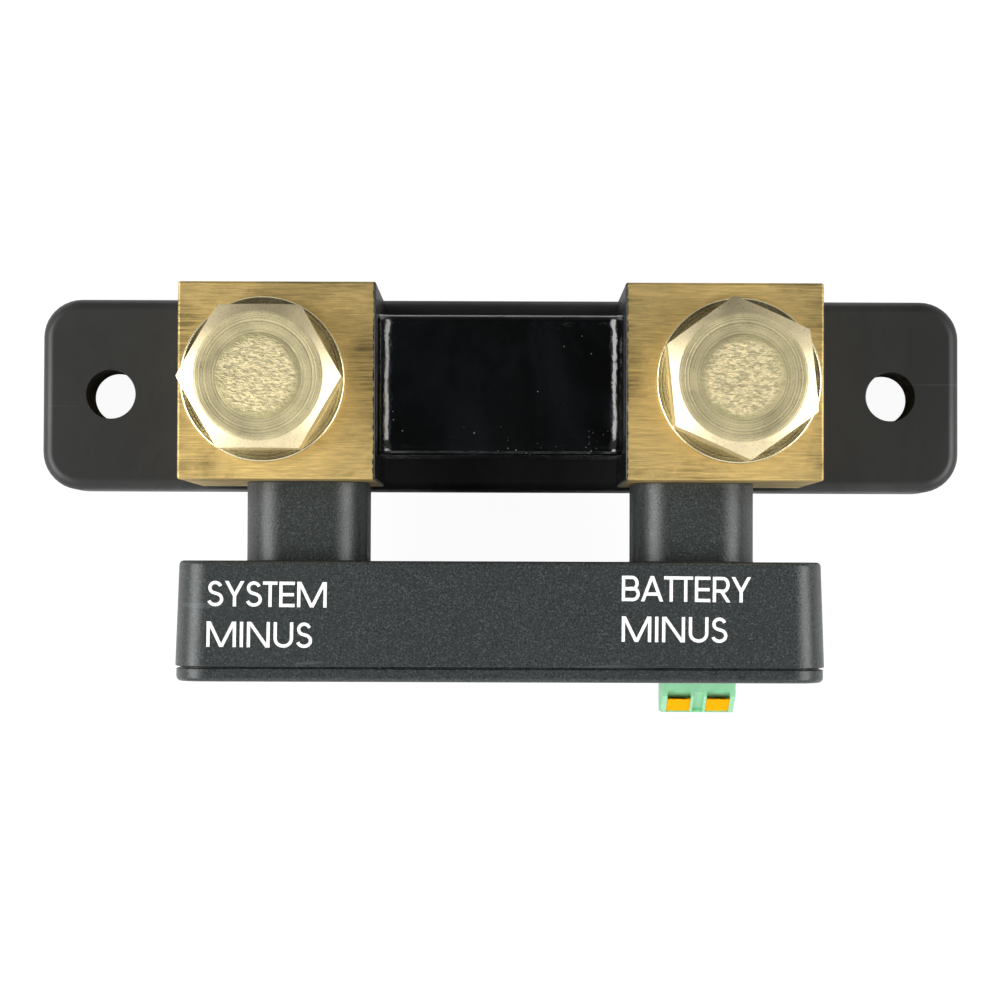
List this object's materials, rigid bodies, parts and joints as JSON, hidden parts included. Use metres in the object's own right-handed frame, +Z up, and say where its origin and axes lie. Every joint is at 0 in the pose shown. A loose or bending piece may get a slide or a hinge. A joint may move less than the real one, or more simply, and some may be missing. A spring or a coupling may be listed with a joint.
{
  "type": "battery monitor shunt",
  "caption": "Battery monitor shunt: brass bolt terminals on a moulded base, joined by resistor strips, with a measuring housing and a plug-in terminal in front.",
  "frame": {"origin": "midway between the two mounting holes, on the underside of the base plate", "axes": "+X from the system block to the battery block, +Y away from the electronics housing, +Z up out of the base, along the terminal bolts"},
  "size_m": [0.12, 0.0535, 0.046],
  "materials": {
    "base_plastic": "satin moulded black",
    "housing_plastic": "fine spark-eroded texture, charcoal",
    "block_brass": "brushed along X",
    "bolt_brass": "turned, bright chamfers",
    "resistor_lacquer": "thick gloss black lacquer over resistance alloy",
    "screw_steel": "zinc plated",
    "board_laminate": "solder mask",
    "terminal_plastic": "moulded light green",
    "lever_plastic": "moulded orange",
    "contact_gold": "plated",
    "socket_nylon": "natural nylon",
    "clear_acrylic": "clear moulded",
    "chip_epoxy": "moulded epoxy",
    "capacitor_can": "sleeved can"
  },
  "bodies": {
    "root": {"base_plate": "base_plastic", "base_screws": "screw_steel", "system_block": "block_brass", "battery_block": "block_brass", "resistor_strip_1": "resistor_lacquer", "resistor_strip_2": "resistor_lacquer", "resistor_strip_3": "resistor_lacquer", "resistor_strip_4": "resistor_lacquer", "housing_shell": "housing_plastic", "front_cover": "housing_plastic", "circuit_board": "board_laminate", "system_sense_pillar": "block_brass", "battery_sense_pillar": "block_brass", "board_screws": "screw_steel", "terminal_housing": "terminal_plastic", "clamp_springs": "screw_steel", "terminal_contacts": "contact_gold", "data_socket": "socket_nylon", "data_socket_pins": "contact_gold", "indicator_leds": "socket_nylon", "status_light_pipe": "clear_acrylic", "link_light_pipe": "clear_acrylic", "radio_module": "screw_steel", "controller_chip": "chip_epoxy", "voltage_regulator": "chip_epoxy", "buffer_capacitors": "capacitor_can", "board_passives": "chip_epoxy"},
    "system_washer": {"system_washer": "bolt_brass"},
    "system_bolt": {"system_bolt": "bolt_brass"},
    "battery_washer": {"battery_washer": "bolt_brass"},
    "battery_bolt": {"battery_bolt": "bolt_brass"},
    "release_lever_1": {"release_lever_1": "lever_plastic"},
    "release_lever_2": {"release_lever_2": "lever_plastic"}
  },
  "joints": [
    {"name": "system_bolt_lift", "type": "slide", "parent": "root", "child": "system_washer", "axis": [0, 0, 1], "range_m": [0, 0.018]},
    {"name": "system_bolt_turn", "type": "hinge", "parent": "system_washer", "child": "system_bolt", "pos_m": [-0.0287, 0, 0.0396], "axis": [0, 0, 1], "range_deg": [0, 4320]},
    {"name": "battery_bolt_lift", "type": "slide", "parent": "root", "child": "battery_washer", "axis": [0, 0, 1], "range_m": [0, 0.018]},
    {"name": "battery_bolt_turn", "type": "hinge", "parent": "battery_washer", "child": "battery_bolt", "pos_m": [0.0287, 0, 0.0396], "axis": [0, 0, 1], "range_deg": [0, 4320]},
    {"name": "release_lever_1_press", "type": "hinge", "parent": "root", "child": "release_lever_1", "pos_m": [0.02285, -0.04008, 0.01432], "axis": [-1, 0, 0], "range_deg": [0, 12], "stiffness_Nm_per_rad": 0.15},
    {"name": "release_lever_2_press", "type": "hinge", "parent": "root", "child": "release_lever_2", "pos_m": [0.02785, -0.04008, 0.01432], "axis": [-1, 0, 0], "range_deg": [0, 12], "stiffness_Nm_per_rad": 0.15}
  ],
  "couplings": [
    {"joint": "system_bolt_turn", "follows": "system_bolt_lift", "rad_per_m": 4188.8},
    {"joint": "battery_bolt_turn", "follows": "battery_bolt_lift", "rad_per_m": 4188.8}
  ]
}
